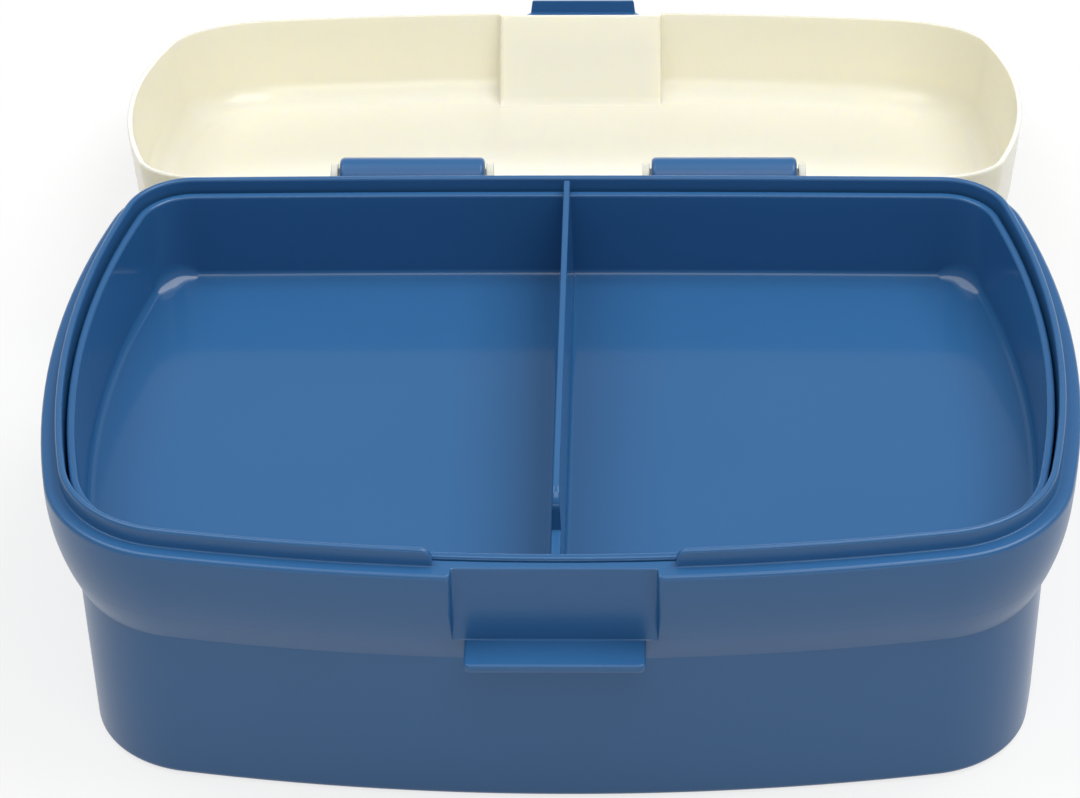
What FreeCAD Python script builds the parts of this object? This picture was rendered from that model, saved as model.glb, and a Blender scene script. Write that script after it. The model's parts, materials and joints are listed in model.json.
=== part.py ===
"""Lunch box of four snap-together mouldings: base, lift-out tray, hinged lid and clip.

Millimetres. X runs across the front, Y from front to back, Z up; the origin is the middle of the base's
bottom face. The lid is modelled closed and the clip latched, then both are swung to the open rest pose.
"""
import math
import os

import FreeCAD
import Part

V = FreeCAD.Vector
X_AXIS = V(1, 0, 0)
Z_AXIS = V(0, 0, 1)

# Plan outline, measured at the rim's outer edge
WIDTH = 200.0
DEPTH = 132.0
FRONT_RADIUS = 430.0
SIDE_RADIUS = 195.0
BACK_RADIUS = 4500.0
FRONT_CORNER = 28.0
BACK_CORNER = 17.0
CAP_STRIP = 2.0

# Base: a tapered lower body under a collar that bulges out to the rim
RIM_Z = 58.0
CREASE_Z = 35.0
CREASE_INSET = 5.1
BOTTOM_INSET = 6.2
BOTTOM_ROUND = 1.5
BASE_WALL = 2.6
BASE_FLOOR = 2.2
BASE_INNER_ROUND = 4.0
RIM_EDGE = 1.2
RIM_ROUND = 0.5
LIP_INSET = 3.0
LIP_WALL = 1.4
LIP_HEIGHT = 3.7
LIP_ROUND = 0.6
LIP_FOOT_ROUND = 0.3
LIP_END_ROUND = 1.2
LIP_GAP = 44.6
SHOULDER_Z = 38.0
SHOULDER_WALL = 2.1
SHOULDER_ROUND = 0.5
COVE_HEIGHT = 5.0
COVE_ROUND = 6.0

# Clip recess and catch ledge on the collar's front
RECESS_WIDTH = 38.0
RECESS_DEPTH = 3.0
RECESS_ROUND = 0.8
LEDGE_WIDTH = 33.5
LEDGE_REACH = 4.7
LEDGE_Z = 41.4
LEDGE_NOSE = 1.8
LEDGE_FLAT = 3.5
LEDGE_ROOT = 5.0
LEDGE_CORNER = 1.2

# Tray with its divider
TRAY_GAP = 0.6
TRAY_RIM_RISE = 0.9
TRAY_WALL = 1.6
TRAY_FLOOR = 1.6
TRAY_DRAFT = 1.1
TRAY_OUTER_ROUND = 0.8
TRAY_INNER_ROUND = 1.5
TRAY_RIM_ROUND = 0.5
DIVIDER_TOP = 1.3
DIVIDER_FOOT = 2.6
DIVIDER_RISE = 2.8
DIVIDER_STEP_Y = -45.5
DIVIDER_STEP_DROP = 8.3
DIVIDER_ROUND = 4.0

# Lid shell
LID_HEIGHT = 21.5
LID_INSET = 1.0
LID_RIM_WALL = 1.2
LID_WALL = 1.6
LID_DRAFT = 2.8
LID_ROUND = 8.0
LID_RIM_ROUND = 0.4

# Notch for the clip, deeper towards the lid's top
NOTCH_WIDTH = 35.2
NOTCH_WALL = 1.45
NOTCH_TOP_INSET = 10.7

# Hinge: hooks on the base around bars on the lid
HINGE_REACH = 4.5
HINGE_DROP = 1.8
HINGE_X = 32.3
HOOK_LENGTH = 30.0
HOOK_WALL = 2.2
BAR_RADIUS = 1.7
HOOK_MOUTH = 2.6
HOOK_MOUTH_ANGLE = -60.0
EAR_THICKNESS = 2.6
EAR_WALL = 1.7
EAR_HEIGHT = 8.0
EAR_SLOPE_DEG = 37.0
LID_OPEN_DEG = 195.4

# Clip: a plate that hangs from a bar in the notch
CLIP_WIDTH = 34.0
CLIP_THICKNESS = 1.9
CLIP_PIVOT_RISE = 8.5
CLIP_PIVOT_INSET = 2.8
CLIP_BAR_RADIUS = 1.3
CLIP_HOOK_WALL = 1.3
CLIP_MOUTH = 2.3
CLIP_MOUTH_ANGLE = 100.0
CLIP_CATCH = 1.3
CLIP_CATCH_HEIGHT = 2.2
CLIP_TAB = 2.2
CLIP_END_WIDTH = 23.4
CLIP_TAPER = 22.0
CLIP_OPEN_DEG = 71.0
CLIP_ROUND = 0.45

# Clearances
SEAT_GAP = 0.3
SIDE_GAP = 0.4
PIN_GAP = 0.1

HALF_W = WIDTH / 2
HALF_D = DEPTH / 2
LIP_TOP = RIM_Z + LIP_HEIGHT
LIP_INNER = LIP_INSET + LIP_WALL
TRAY_BOTTOM = SHOULDER_Z + SEAT_GAP
TRAY_TOP = RIM_Z + TRAY_RIM_RISE
TRAY_INSET = LIP_INNER + TRAY_GAP
TRAY_SLOPE = TRAY_DRAFT / (TRAY_TOP - TRAY_BOTTOM)
LID_RIM = RIM_Z + SEAT_GAP
LID_TOP = RIM_Z + LID_HEIGHT
HINGE_Y = HALF_D + HINGE_REACH
HINGE_Z = RIM_Z - HINGE_DROP
HINGE_POINT = V(0, HINGE_Y, HINGE_Z)
CLIP_POINT = V(0, CLIP_PIVOT_INSET - HALF_D, RIM_Z + CLIP_PIVOT_RISE)


def corner_center(side, end, radius):
    """Centre of the corner circle that touches the side arc and the front or back arc from inside."""
    (sx, sy, sr), (ex, ey, er) = side, end
    reach_s, reach_e = sr - radius, er - radius
    span = math.hypot(ex - sx, ey - sy)
    along = (reach_s ** 2 - reach_e ** 2 + span ** 2) / (2 * span)
    across = math.sqrt(reach_s ** 2 - along ** 2)
    ux, uy = (ex - sx) / span, (ey - sy) / span
    options = [(sx + ux * along - k * uy * across, sy + uy * along + k * ux * across) for k in (1, -1)]
    return max(options, key=lambda c: c[0])


def plan_arcs():
    """Arcs of the plan outline, anticlockwise from the right side: centre x, y, radius, start, end angle."""
    side = (HALF_W - SIDE_RADIUS, 0.0, SIDE_RADIUS)
    front = (0.0, FRONT_RADIUS - HALF_D, FRONT_RADIUS)
    back = (0.0, HALF_D - BACK_RADIUS, BACK_RADIUS)
    bx, by = corner_center(side, back, BACK_CORNER)
    fx, fy = corner_center(side, front, FRONT_CORNER)
    side_back = math.atan2(by, bx - side[0])
    side_front = math.atan2(fy, fx - side[0])
    back_turn = math.atan2(by - back[1], bx)
    front_turn = math.atan2(fy - front[1], fx)
    right = [side + (side_front, side_back), (bx, by, BACK_CORNER, side_back, back_turn)]
    left = [(-bx, by, BACK_CORNER, math.pi - back_turn, math.pi - side_back),
            (-side[0], 0.0, SIDE_RADIUS, math.pi - side_back, math.pi - side_front),
            (-fx, fy, FRONT_CORNER, math.pi - side_front, math.pi - front_turn)]
    last = [front + (math.pi - front_turn, 2 * math.pi + front_turn),
            (fx, fy, FRONT_CORNER, front_turn, side_front)]
    return right + [back + (back_turn, math.pi - back_turn)] + left + last


ARCS = plan_arcs()


def section(inset, z):
    """Plan outline moved inward by inset, as a closed wire at height z."""
    edges = []
    for cx, cy, radius, start, end in ARCS:
        r = radius - inset
        points = [V(cx + r * math.cos(a), cy + r * math.sin(a), z) for a in (start, (start + end) / 2, end)]
        edges.append(Part.Arc(*points).toShape())
    return Part.Wire(edges)


def profile(points):
    """Edges through (inset, z, round) corners, drawn with x as minus the inset, each corner rounded."""
    corners = [V(-inset, 0, z) for inset, z, _ in points]
    edges, start = [], corners[0]
    for before, corner, after, point in zip(corners, corners[1:], corners[2:], points[1:]):
        to_before, to_after = (before - corner).normalize(), (after - corner).normalize()
        entry = leave = corner
        half_angle = to_before.getAngle(to_after) / 2
        if point[2] > 0:
            entry = corner + to_before * (point[2] / math.tan(half_angle))
            leave = corner + to_after * (point[2] / math.tan(half_angle))
            inward = (to_before + to_after).normalize()
            crest = corner + inward * (point[2] / math.sin(half_angle) - point[2])
        edges.append(Part.makeLine(start, entry))
        if point[2] > 0:
            edges.append(Part.Arc(entry, crest, leave).toShape())
        start = leave
    return edges + [Part.makeLine(start, corners[-1])]


def moulding(edges):
    """Solid whose wall section runs round the plan outline, closed by flat caps at the section's two ends."""
    wire = Part.Wire(edges)
    faces = []
    for cx, cy, radius, start, end in ARCS:
        part = wire.copy()
        part.rotate(V(0, 0, 0), Z_AXIS, math.degrees(start))
        part.translate(V(cx + radius * math.cos(start), cy + radius * math.sin(start), 0))
        faces += part.revolve(V(cx, cy, 0), Z_AXIS, math.degrees(end - start)).Faces
    for point in (edges[0].Vertexes[0].Point, edges[-1].Vertexes[-1].Point):
        faces.append(Part.Face(section(-point.x, point.z)))
    shell = Part.Shell(faces)
    shell.sewShape()
    solid = Part.Solid(shell)
    return solid if solid.Volume > 0 else solid.reversed()


def extrude_x(points, x0, x1):
    """Prism along X with a closed outline of (y, z) points."""
    wire = Part.makePolygon([V(x0, y, z) for y, z in points + points[:1]])
    return Part.Face(wire).extrude(V(x1 - x0, 0, 0))


def rod(point, radius, x0, x1):
    """Cylinder along X through a point."""
    return Part.makeCylinder(radius, x1 - x0, V(x0, point.y, point.z), X_AXIS)


def block(x0, x1, y0, y1, z0, z1):
    return Part.makeBox(x1 - x0, y1 - y0, z1 - z0, V(x0, y0, z0))


def upright_edges(shape, x_abs, y_low, y_high):
    """Vertical edges at a given distance from the middle plane, between two y values."""
    found = []
    for e in shape.Edges:
        box = e.BoundBox
        if abs(abs(box.XMin) - x_abs) < 1e-3 and box.XLength < 1e-3 and box.YLength < 1e-3:
            if y_low < box.YMin < y_high:
                found.append(e)
    return found


def c_ring(point, bore, wall, x0, x1, mouth, mouth_deg):
    """Open snap ring along X, with its mouth turned to an angle in the YZ plane."""
    ring = rod(point, bore + wall, x0, x1).cut(rod(point, bore, x0, x1))
    slot = block(x0, x1, 0, 2 * (bore + wall), -mouth / 2, mouth / 2)
    slot.rotate(V(0, 0, 0), X_AXIS, mouth_deg)
    slot.translate(V(0, point.y, point.z))
    return ring.cut(slot)


def collar_inset(z):
    """Inset of the collar's outer face: an arc that leaves the rim upright and meets the crease."""
    top = RIM_Z - RIM_EDGE
    drop = top - CREASE_Z
    radius = (drop ** 2 + CREASE_INSET ** 2) / (2 * CREASE_INSET)
    return radius - math.sqrt(radius ** 2 - (top - z) ** 2)


def base_hooks():
    """The two hinge hooks with the webs that carry them on the collar's back."""
    bore = BAR_RADIUS + PIN_GAP
    outer = bore + HOOK_WALL
    hooks = []
    for side in (-1, 1):
        x0 = side * HINGE_X - HOOK_LENGTH / 2
        x1 = x0 + HOOK_LENGTH
        foot_z = HINGE_Z - outer
        foot_y = HALF_D - collar_inset(foot_z) - BASE_WALL / 2
        web = extrude_x([(foot_y, RIM_Z), (HINGE_Y, RIM_Z), (HINGE_Y, foot_z), (foot_y, foot_z - outer)],
                        x0, x1)
        web = web.cut(rod(HINGE_POINT, bore + HOOK_WALL / 2, x0, x1))
        hooks.append(web.fuse(c_ring(HINGE_POINT, bore, HOOK_WALL, x0, x1, HOOK_MOUTH, HOOK_MOUTH_ANGLE)))
    return hooks


def base_ledge():
    """Catch ledge under the recess: a flat nose on a sloping root."""
    nose_y = -HALF_D - LEDGE_REACH
    root_z = LEDGE_Z - LEDGE_NOSE - LEDGE_ROOT
    top_y = -HALF_D + collar_inset(LEDGE_Z) + BASE_WALL / 2
    root_y = -HALF_D + collar_inset(max(root_z, CREASE_Z)) + BASE_WALL / 2
    outline = [(top_y, LEDGE_Z), (nose_y, LEDGE_Z), (nose_y, LEDGE_Z - LEDGE_NOSE),
               (nose_y + LEDGE_FLAT, LEDGE_Z - LEDGE_NOSE), (root_y, root_z)]
    ledge = extrude_x(outline, -LEDGE_WIDTH / 2, LEDGE_WIDTH / 2)
    return ledge.makeFillet(LEDGE_CORNER, upright_edges(ledge, LEDGE_WIDTH / 2, nose_y - 1, nose_y + 1))


def lip_gap():
    """Cutter for the gap in the lip, with corners that leave the lip's ends rounded off."""
    half, r = LIP_GAP / 2, LIP_END_ROUND
    y0, depth = -HALF_D, HALF_D / 2
    gap = block(-half - r, half + r, y0, y0 + depth, RIM_Z, LIP_TOP + 1)
    for side in (-1, 1):
        x = side * (half + r)
        x0, x1 = min(x, x - side * r), max(x, x - side * r)
        gap = gap.cut(block(x0, x1, y0, y0 + depth, RIM_Z, LIP_TOP - r))
        gap = gap.cut(Part.makeCylinder(r, depth, V(x, y0, LIP_TOP - r), V(0, 1, 0)))
    return gap


def make_base():
    shoulder = collar_inset(SHOULDER_Z) + SHOULDER_WALL
    well_bottom = BOTTOM_INSET + BASE_WALL
    collar_top = RIM_Z - RIM_EDGE
    collar_mid = (CREASE_Z + collar_top) / 2
    lower = profile([(BOTTOM_INSET + BOTTOM_ROUND + CAP_STRIP, 0, 0), (BOTTOM_INSET, 0, BOTTOM_ROUND),
                     (CREASE_INSET, CREASE_Z, 0)])
    bulge = Part.Arc(V(-CREASE_INSET, 0, CREASE_Z), V(-collar_inset(collar_mid), 0, collar_mid),
                     V(0, 0, collar_top))
    upper = profile([(0, collar_top, 0), (0, RIM_Z, RIM_ROUND), (LIP_INSET, RIM_Z, LIP_FOOT_ROUND),
                     (LIP_INSET, LIP_TOP, LIP_ROUND), (LIP_INNER, LIP_TOP, LIP_ROUND),
                     (LIP_INNER, SHOULDER_Z + COVE_HEIGHT, COVE_ROUND), (shoulder, SHOULDER_Z, 0),
                     (CREASE_INSET + BASE_WALL, SHOULDER_Z, SHOULDER_ROUND),
                     (well_bottom, BASE_FLOOR, BASE_INNER_ROUND),
                     (well_bottom + BASE_INNER_ROUND + CAP_STRIP, BASE_FLOOR, 0)])
    body = moulding(lower + [bulge.toShape()] + upper).cut(lip_gap())
    recess = block(-RECESS_WIDTH / 2, RECESS_WIDTH / 2, -WIDTH, RECESS_DEPTH - HALF_D, LEDGE_Z, LIP_TOP)
    recess = recess.makeFillet(RECESS_ROUND, upright_edges(recess, RECESS_WIDTH / 2, -HALF_D, 0))
    return body.cut(recess).fuse([base_ledge()] + base_hooks())


def mid_wall(z):
    """Distance from the middle to the middle of the tray's front or back wall at height z."""
    return HALF_D - TRAY_INSET - TRAY_WALL / 2 - TRAY_SLOPE * (TRAY_TOP - z)


def make_divider():
    """Divider that tapers upward and steps down at the front to clear the lid's notch."""
    top = TRAY_TOP + DIVIDER_RISE
    low = top - DIVIDER_STEP_DROP
    floor = TRAY_BOTTOM + TRAY_FLOOR / 2
    outline = extrude_x([(-mid_wall(floor), floor), (mid_wall(floor), floor), (mid_wall(top), top),
                         (DIVIDER_STEP_Y, top), (DIVIDER_STEP_Y, low), (-mid_wall(low), low)],
                        -DIVIDER_FOOT, DIVIDER_FOOT)
    across = [e for e in outline.Edges if e.BoundBox.XLength > DIVIDER_FOOT and e.BoundBox.YMax < 0]
    outline = outline.makeFillet(DIVIDER_ROUND, [e for e in across if abs(e.BoundBox.ZMin - top) < 1e-4])
    taper = Part.makePolygon([V(-DIVIDER_FOOT / 2, -HALF_D, floor), V(DIVIDER_FOOT / 2, -HALF_D, floor),
                              V(DIVIDER_TOP / 2, -HALF_D, top), V(-DIVIDER_TOP / 2, -HALF_D, top),
                              V(-DIVIDER_FOOT / 2, -HALF_D, floor)])
    return outline.common(Part.Face(taper).extrude(V(0, DEPTH, 0)))


def make_tray():
    floor = TRAY_BOTTOM + TRAY_FLOOR
    outer_low = TRAY_INSET + TRAY_DRAFT
    inner_top = TRAY_INSET + TRAY_WALL
    inner_low = inner_top + TRAY_SLOPE * (TRAY_TOP - floor)
    outside = [(outer_low + TRAY_OUTER_ROUND + CAP_STRIP, TRAY_BOTTOM, 0),
               (outer_low, TRAY_BOTTOM, TRAY_OUTER_ROUND), (TRAY_INSET, TRAY_TOP, TRAY_RIM_ROUND)]
    inside = [(inner_top, TRAY_TOP, TRAY_RIM_ROUND), (inner_low, floor, TRAY_INNER_ROUND),
              (inner_low + TRAY_INNER_ROUND + CAP_STRIP, floor, 0)]
    shell = moulding(profile(outside + inside))
    return shell.fuse(make_divider())


def notch_prism(rim_inset, top_inset, half_width):
    """Wedge from the lid's front to a face that slopes inward from the rim to the top."""
    rim_y, top_y = rim_inset - HALF_D, top_inset - HALF_D
    slope = (top_y - rim_y) / (LID_TOP - LID_RIM)
    low, high = LID_RIM - 1, LID_TOP + 1
    outline = [(-WIDTH, low), (rim_y - slope, low), (top_y + slope, high), (-WIDTH, high)]
    return extrude_x(outline, -half_width, half_width)


def lid_ears():
    """Ears on the lid's back wall with the hinge bars between them."""
    pieces = []
    radius = BAR_RADIUS + EAR_WALL
    wall_y = HALF_D - LID_INSET - LID_RIM_WALL / 2
    arm_low = LID_RIM + SEAT_GAP
    slope = math.radians(EAR_SLOPE_DEG)
    shoulder = (HINGE_Y + radius * math.cos(slope), HINGE_Z + radius * math.sin(slope))
    arm = [(wall_y, arm_low), (HINGE_Y, arm_low), shoulder,
           (wall_y - LID_DRAFT * EAR_HEIGHT / LID_HEIGHT, LID_RIM + EAR_HEIGHT)]
    for side in (-1, 1):
        inner = side * HINGE_X - HOOK_LENGTH / 2 - SIDE_GAP
        outer = side * HINGE_X + HOOK_LENGTH / 2 + SIDE_GAP
        for x0 in (inner - EAR_THICKNESS, outer):
            x1 = x0 + EAR_THICKNESS
            pieces.append(extrude_x(arm, x0, x1).fuse(rod(HINGE_POINT, radius, x0, x1)))
        pieces.append(rod(HINGE_POINT, BAR_RADIUS, inner - EAR_THICKNESS / 2, outer + EAR_THICKNESS / 2))
    return pieces


def make_lid():
    panel = LID_TOP - LID_WALL
    outer_top = LID_INSET + LID_DRAFT
    inner_top = outer_top + LID_WALL
    outside = [(outer_top + LID_ROUND + CAP_STRIP, LID_TOP, 0), (outer_top, LID_TOP, LID_ROUND),
               (LID_INSET, LID_RIM, LID_RIM_ROUND)]
    inside = [(LID_INSET + LID_RIM_WALL, LID_RIM, LID_RIM_ROUND), (inner_top, panel, LID_ROUND - LID_WALL),
              (inner_top + LID_ROUND, panel, 0)]
    shell = moulding(profile(outside + inside))
    envelope = moulding(profile(outside + [(outer_top + LID_ROUND, LID_RIM, 0)]))

    face_inset = TRAY_INSET - SIDE_GAP
    wall = notch_prism(face_inset, NOTCH_TOP_INSET + NOTCH_WALL, NOTCH_WIDTH / 2 + NOTCH_WALL)
    wall = wall.common(envelope)
    notch = notch_prism(face_inset - NOTCH_WALL, NOTCH_TOP_INSET, NOTCH_WIDTH / 2)
    shell = shell.fuse(wall).cut(notch)
    half_bar = NOTCH_WIDTH / 2 + NOTCH_WALL / 2
    return shell.fuse(lid_ears() + [rod(CLIP_POINT, CLIP_BAR_RADIUS, -half_bar, half_bar)])


def make_clip():
    """Plate from a snap ring on the lid's bar down past the ledge's nose, with a catch under the nose."""
    half = CLIP_THICKNESS / 2
    nose_out = CLIP_POINT.y + HALF_D + LEDGE_REACH
    nose_down = CLIP_POINT.z - LEDGE_Z
    reach = math.hypot(nose_out, nose_down)
    lean = math.atan2(nose_out, nose_down) + math.asin((half + SIDE_GAP) / reach)
    catch_z = LEDGE_Z - LEDGE_NOSE - SEAT_GAP
    length = (CLIP_POINT.z - catch_z + CLIP_TAB) / math.cos(lean)

    bore = CLIP_BAR_RADIUS + PIN_GAP
    plate = block(-CLIP_WIDTH / 2, CLIP_WIDTH / 2, -half, half, -length, -bore)
    end_cut = CLIP_WIDTH / 2 - CLIP_END_WIDTH / 2
    for side in (-1, 1):
        corner = Part.makePolygon([V(side * CLIP_WIDTH / 2, -WIDTH, -length + CLIP_TAPER),
                                   V(side * (CLIP_WIDTH / 2 - end_cut), -WIDTH, -length),
                                   V(side * CLIP_WIDTH / 2, -WIDTH, -length),
                                   V(side * CLIP_WIDTH / 2, -WIDTH, -length + CLIP_TAPER)])
        plate = plate.cut(Part.Face(corner).extrude(V(0, 2 * WIDTH, 0)))
    long_edges = [e for e in plate.Edges if e.BoundBox.YLength < 1e-6 and e.BoundBox.ZMax < -bore - 0.5]
    plate = plate.makeFillet(CLIP_ROUND, long_edges)
    plate.rotate(V(0, 0, 0), X_AXIS, -math.degrees(lean))
    plate.translate(CLIP_POINT)

    tip_y = -HALF_D - LEDGE_REACH + CLIP_CATCH
    plate_y = CLIP_POINT.y - (CLIP_POINT.z - catch_z) * math.tan(lean)
    foot_z = catch_z - CLIP_CATCH_HEIGHT
    foot_y = plate_y - CLIP_CATCH_HEIGHT * math.tan(lean)
    catch = extrude_x([(plate_y, catch_z), (tip_y, catch_z), (tip_y, catch_z - CLIP_CATCH_HEIGHT / 2),
                       (foot_y + half, foot_z), (foot_y, foot_z)], -CLIP_END_WIDTH / 2, CLIP_END_WIDTH / 2)
    ring = c_ring(CLIP_POINT, bore, CLIP_HOOK_WALL, -CLIP_WIDTH / 2, CLIP_WIDTH / 2, CLIP_MOUTH,
                  CLIP_MOUTH_ANGLE)
    return plate.fuse([catch, ring])


def open_pose(shape):
    """Swing a closed-lid shape to the open rest pose."""
    shape.rotate(HINGE_POINT, X_AXIS, -LID_OPEN_DEG)
    return shape


clip = make_clip()
clip.rotate(CLIP_POINT, X_AXIS, -CLIP_OPEN_DEG)
nodes = {
    "base": make_base(),
    "tray": make_tray(),
    "lid": open_pose(make_lid()),
    "clip": open_pose(clip),
}
os.makedirs("parts", exist_ok=True)
for name, shape in nodes.items():
    solid = shape.removeSplitter()
    box = solid.BoundBox
    print(name, len(solid.Solids), solid.isValid(), round(solid.Volume / 1000, 2), "cm3",
          [round(v, 2) for v in (box.XMin, box.XMax, box.YMin, box.YMax, box.ZMin, box.ZMax)])
    solid.exportStep("parts/" + name + ".step")
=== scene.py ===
"""Dressed lunch box: base, lift-out tray, hinged lid and clip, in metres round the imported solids."""
import json
import math
from functools import partial

import bmesh
import bpy
from bpy.props import FloatProperty, FloatVectorProperty, PointerProperty
from mathutils import Matrix, Vector


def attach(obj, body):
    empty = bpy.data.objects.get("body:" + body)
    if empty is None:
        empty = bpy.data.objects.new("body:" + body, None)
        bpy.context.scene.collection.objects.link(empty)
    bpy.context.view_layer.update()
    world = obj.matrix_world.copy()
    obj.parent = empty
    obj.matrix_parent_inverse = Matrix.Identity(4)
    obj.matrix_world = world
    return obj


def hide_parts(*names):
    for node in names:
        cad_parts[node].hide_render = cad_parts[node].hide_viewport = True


bl_info = {
    "name": "Lunch Box",
    "version": (1, 0, 0),
    "blender": (4, 5, 0),
    "location": "View3D > Sidebar > Lunch Box",
    "description": "Builds a moulded lunch box with a tray, a hinged lid and a clip",
    "category": "Add Mesh",
}

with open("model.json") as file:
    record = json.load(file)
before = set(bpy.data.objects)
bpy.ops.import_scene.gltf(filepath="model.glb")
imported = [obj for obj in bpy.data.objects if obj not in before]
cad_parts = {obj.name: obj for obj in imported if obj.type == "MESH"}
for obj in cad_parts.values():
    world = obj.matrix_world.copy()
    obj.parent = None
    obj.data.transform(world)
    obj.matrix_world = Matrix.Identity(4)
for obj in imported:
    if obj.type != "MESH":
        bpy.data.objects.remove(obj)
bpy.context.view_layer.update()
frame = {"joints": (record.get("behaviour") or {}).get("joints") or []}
JOINTS = {joint["name"]: joint for joint in frame["joints"]}
HINGE = Vector(JOINTS["lid_hinge"]["pos_m"])
LID_OPEN = math.radians(JOINTS["lid_hinge"]["range_deg"][1])
CLIP_OPEN = math.radians(JOINTS["clip_hinge"]["range_deg"][1])

MM = 0.001
HAIR = 0.001 * MM
SHARP_ANGLE = math.radians(40)

# Flat ring beside a rounded edge, inside which one flat face closes a floor or a panel
FLAT_STRIP = 2 * MM

# Share of a wall's or floor's thickness that the divider sinks into it
SINK = 0.3

# Columns over a moulded step: how many millimetres inside its edge each one stands, and the share
# of the step's depth that is reached there
EDGE_STEPS = ((-0.9, 0.0), (-0.5, 0.02), (-0.22, 0.08), (-0.06, 0.17), (0.0, 0.3), (0.03, 0.76),
              (0.12, 0.88), (0.35, 0.96), (0.8, 1.0))

# Columns over a rounded end of the lip, as shares of its radius, and the last one in the gap
LIP_END_STEPS = (0.0, 0.05, 0.15, 0.3, 0.5, 0.75, 1.0)
LIP_GAP_STEP = 0.05 * MM

# Number of columns along the plan's arcs
SIDE_COLUMNS, BACK_COLUMNS = 20, 24
BACK_CORNER_COLUMNS, FRONT_CORNER_COLUMNS = 14, 18

# Columns of each front, in millimetres from the middle
BASE_FRONT = (0, 4, 8, 12, 15, 17, 20.6, 25.5, 29, 34, 39, 45, 51, 57, 63, 69, 75)
TRAY_FRONT = range(0, 71, 7)
LID_FRONT = (0, 5, 10, 14, 22, 26, 31, 37, 43, 49, 55, 61, 67, 73)

# The front's columns run straight back as far as the first distance from the middle, and square to
# the bow from the second one on
FAN_START, FAN_END = 30 * MM, 60 * MM

# The tray's softer front rim is whole as far as the first distance and gone at the second
SOFT_RIM_START, SOFT_RIM_END = 35 * MM, 75 * MM

# The divider's stations: before its step, and behind it in millimetres; and its rows up the side
BEFORE_STEP = (6 * MM, 0.6 * MM)
BEHIND_STEP = (-30, -15, 0, 15, 30, 45, 55)
DIVIDER_ROWS = (0.35, 0.7)

FLOOR_HALF = 4.0
FLOOR_DROP = 0.2 * MM

# Name, place, width, height and watts of each soft lamp; all of them face the box
LAMPS = (("key_right", (0.6, 0.1, 1.2), 0.8, 0.8, 9.1),
         ("fill_left", (-0.6, 0.1, 1.2), 0.8, 0.8, 5.6),
         ("front_top", (0.1, -0.6, 1.0), 0.6, 0.6, 2.2),
         ("low_card", (0.1, -0.9, 0.07), 1.6, 0.1, 1.3),
         ("back_card", (0.0, 1.0, 0.09), 1.2, 0.14, 1.3))
LAMP_AIM = Vector((0, 0.03, 0.04))

# Camera fitted to the outlines of the rim, crease, bottom and lid; angles in radians
CAMERA_PLACE = (0.02037, -0.66828, 0.53642)
CAMERA_YAW, CAMERA_PITCH, CAMERA_ROLL = -0.0370, 0.6379, -0.0208
CAMERA_SENSOR, CAMERA_LENS, CAMERA_SHIFT = 36.0, 141.31, 0.037


def linear(code):
    """sRGB hex to a linear colour with alpha."""
    values = [int(code[i:i + 2], 16) / 255 for i in (1, 3, 5)]
    return [v / 12.92 if v <= 0.04045 else ((v + 0.055) / 1.055) ** 2.4 for v in values] + [1.0]


def length(name, description, mm):
    """A size in metres that is written in millimetres."""
    return FloatProperty(name=name, description=description, default=mm * MM, unit="LENGTH",
                         precision=5)


def turn(name, description, degrees):
    """An angle in radians that is written in degrees."""
    return FloatProperty(name=name, description=description, default=math.radians(degrees),
                         subtype="ANGLE")


def colour(name, description, code):
    """A linear colour that is written as sRGB hex."""
    return FloatVectorProperty(name=name, description=description, default=linear(code), size=4,
                               min=0.0, max=1.0, subtype="COLOR")


class PlanSizes(bpy.types.PropertyGroup):
    width: length("Width", "Across the rim", 200)
    depth: length("Depth", "Front to back over the rim", 132)
    front_radius: length("Front radius", "Bow of the front", 430)
    side_radius: length("Side radius", "Bow of the sides", 195)
    back_radius: length("Back radius", "Bow of the back", 4500)
    front_corner: length("Front corner", "Radius of the front corners", 28)
    back_corner: length("Back corner", "Radius of the back corners", 17)


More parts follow.
